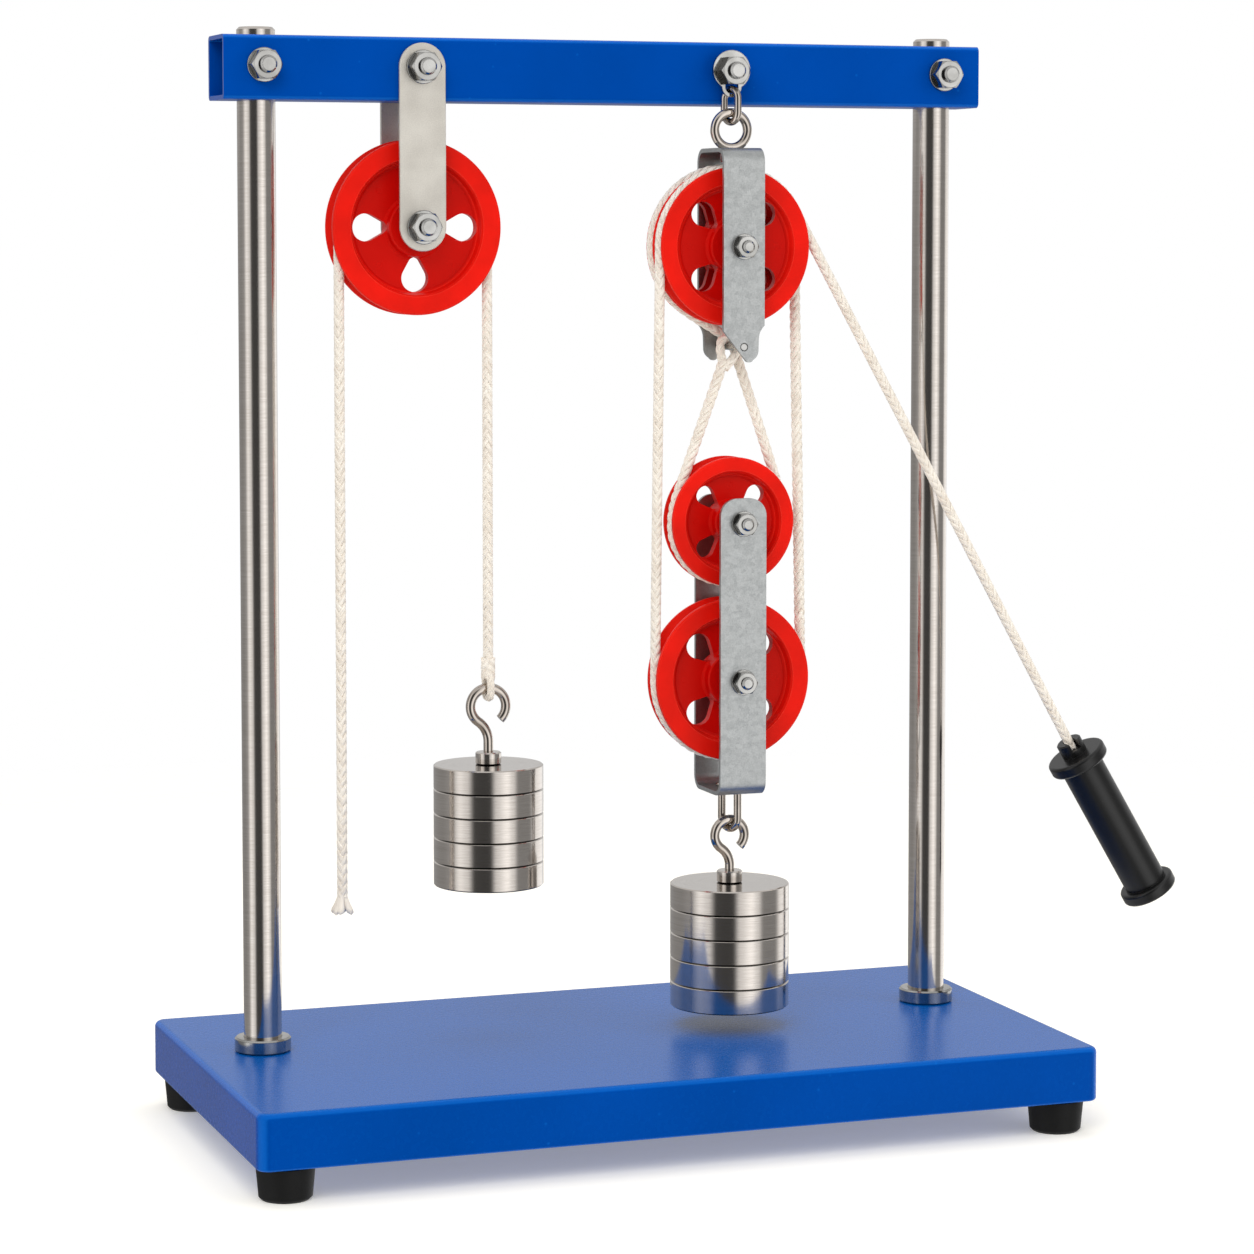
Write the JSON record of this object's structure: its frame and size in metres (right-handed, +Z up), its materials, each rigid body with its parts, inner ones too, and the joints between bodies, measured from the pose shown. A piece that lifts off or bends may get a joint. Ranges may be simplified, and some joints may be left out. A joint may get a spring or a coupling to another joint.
{
  "type": "pulley demonstrator",
  "caption": "Classroom stand with a fixed pulley and a block and tackle, each lifting a stack of slotted disc weights on a cord with a pull handle.",
  "frame": {"origin": "on the table, below the middle of the whole object", "axes": "+X to the right along the beam, +Y to the back, +Z up"},
  "size_m": [0.504, 0.216, 0.525],
  "materials": {
    "blue_board": "blue paint, satin",
    "blue_steel": "blue paint, satin",
    "post_steel": "polished",
    "bright_zinc": "bright zinc plate",
    "grey_strap": "satin",
    "galvanised": "galvanised",
    "wire": "bright",
    "nickel": "turned, nickel grey",
    "red_plastic": "satin",
    "black_plastic": "satin",
    "black_rubber": "matt",
    "cotton": "braided cotton"
  },
  "bodies": {
    "stand": {"base": "blue_board", "rubber_feet": "black_rubber", "base_screws": "bright_zinc", "post_left": "post_steel", "post_right": "post_steel", "post_collars": "post_steel", "beam": "blue_steel", "beam_bolts": "bright_zinc", "beam_nuts": "bright_zinc", "strap_front": "grey_strap", "strap_rear": "grey_strap", "fixed_axle": "bright_zinc", "fixed_axle_nut": "bright_zinc", "fixed_spacers": "bright_zinc", "eye_plate": "bright_zinc", "eye_plate_bush": "bright_zinc", "lift_cord_wrap": "cotton"},
    "fixed_pulley_wheel": {"fixed_wheel": "red_plastic"},
    "lift_cord_load_side": {"lift_cord_load_fall": "cotton", "lift_cord_eye": "cotton"},
    "lift_cord_free_side": {"lift_cord_free_fall": "cotton"},
    "left_weight": {"left_weight_hook": "wire", "left_weight_collar": "nickel", "left_weight_nut": "nickel", "left_weight_disc_1": "nickel", "left_weight_disc_2": "nickel", "left_weight_disc_3": "nickel", "left_weight_disc_4": "nickel", "left_weight_disc_5": "nickel"},
    "hanger": {"hanger_link": "wire"},
    "upper_block": {"upper_fork": "galvanised", "upper_eye_bolt": "wire", "upper_nuts": "bright_zinc", "upper_axle": "bright_zinc", "upper_spacers": "bright_zinc", "becket_pin": "bright_zinc", "tackle_cord_front_wrap": "cotton", "tackle_cord_rear_wrap": "cotton"},
    "upper_front_sheave": {"upper_front_wheel": "red_plastic"},
    "upper_rear_sheave": {"upper_rear_wheel": "red_plastic"},
    "lower_block": {"lower_fork": "galvanised", "lower_axles": "bright_zinc", "lower_axle_nuts": "bright_zinc", "lower_spacers": "bright_zinc", "lower_staple": "wire", "tackle_cord_large_bight": "cotton", "tackle_cord_small_bight": "cotton"},
    "large_sheave": {"large_wheel": "red_plastic"},
    "small_sheave": {"small_wheel": "red_plastic"},
    "right_weight": {"right_weight_hook": "wire", "right_weight_collar": "nickel", "right_weight_nut": "nickel", "right_weight_disc_1": "nickel", "right_weight_disc_2": "nickel", "right_weight_disc_3": "nickel", "right_weight_disc_4": "nickel", "right_weight_disc_5": "nickel"},
    "handle": {"pull_handle": "black_plastic", "tackle_cord_pull_fall": "cotton"}
  },
  "joints": [
    {"name": "left_lift", "type": "slide", "parent": "stand", "child": "lift_cord_load_side", "axis": [0, 0, 1], "range_m": [-0.068, 0.06], "deforming": ["lift_cord_load_fall"]},
    {"name": "left_free_end", "type": "slide", "parent": "stand", "child": "lift_cord_free_side", "axis": [0, 0, 1], "range_m": [-0.061, 0.069], "deforming": ["lift_cord_free_fall"]},
    {"name": "fixed_wheel_spin", "type": "hinge", "parent": "stand", "child": "fixed_pulley_wheel", "pos_m": [-0.143, 0.02, 0.432], "axis": [0, 1, 0], "continuous": true},
    {"name": "left_weight_swing", "type": "hinge", "parent": "lift_cord_load_side", "child": "left_weight", "pos_m": [-0.1064, 0.02, 0.2107], "axis": [1, 0, 0], "range_deg": [-15, 15]},
    {"name": "hanger_swing", "type": "hinge", "parent": "stand", "child": "hanger", "pos_m": [0.01, -0.002, 0.4965], "axis": [1, 0, 0], "range_deg": [-4, 4]},
    {"name": "upper_block_swing", "type": "hinge", "parent": "hanger", "child": "upper_block", "pos_m": [0.01, -0.002, 0.4846], "axis": [0, 1, 0], "range_deg": [-4, 4]},
    {"name": "block_lift", "type": "slide", "parent": "upper_block", "child": "lower_block", "axis": [0, 0, 1], "range_m": [-0.008, 0.018], "deforming": ["tackle_cord_large_bight", "tackle_cord_small_bight"]},
    {"name": "right_weight_swing", "type": "hinge", "parent": "lower_block", "child": "right_weight", "pos_m": [0.01, -0.002, 0.14385], "axis": [1, 0, 0], "range_deg": [-5, 5]},
    {"name": "handle_pull", "type": "slide", "parent": "upper_block", "child": "handle", "axis": [0.4894, 0, -0.8721], "range_m": [-0.0325, 0.0725], "deforming": ["tackle_cord_pull_fall"]},
    {"name": "upper_front_spin", "type": "hinge", "parent": "upper_block", "child": "upper_front_sheave", "pos_m": [0.01, -0.00375, 0.4228], "axis": [0, 1, 0], "continuous": true},
    {"name": "upper_rear_spin", "type": "hinge", "parent": "upper_block", "child": "upper_rear_sheave", "pos_m": [0.01, 0.00775, 0.4228], "axis": [0, 1, 0], "continuous": true},
    {"name": "large_spin", "type": "hinge", "parent": "lower_block", "child": "large_sheave", "pos_m": [0.01, 0.0005, 0.2132], "axis": [0, 1, 0], "continuous": true},
    {"name": "small_spin", "type": "hinge", "parent": "lower_block", "child": "small_sheave", "pos_m": [0.01, 0.0005, 0.2898], "axis": [0, 1, 0], "continuous": true}
  ],
  "couplings": [
    {"joint": "left_free_end", "follows": "left_lift", "ratio": -1},
    {"joint": "fixed_wheel_spin", "follows": "left_lift", "rad_per_m": -27.322},
    {"joint": "handle_pull", "follows": "block_lift", "ratio": 4},
    {"joint": "upper_front_spin", "follows": "block_lift", "rad_per_m": 108.11},
    {"joint": "upper_rear_spin", "follows": "block_lift", "rad_per_m": 54.054},
    {"joint": "large_spin", "follows": "block_lift", "rad_per_m": 79.365},
    {"joint": "small_spin", "follows": "block_lift", "rad_per_m": -34.13}
  ]
}
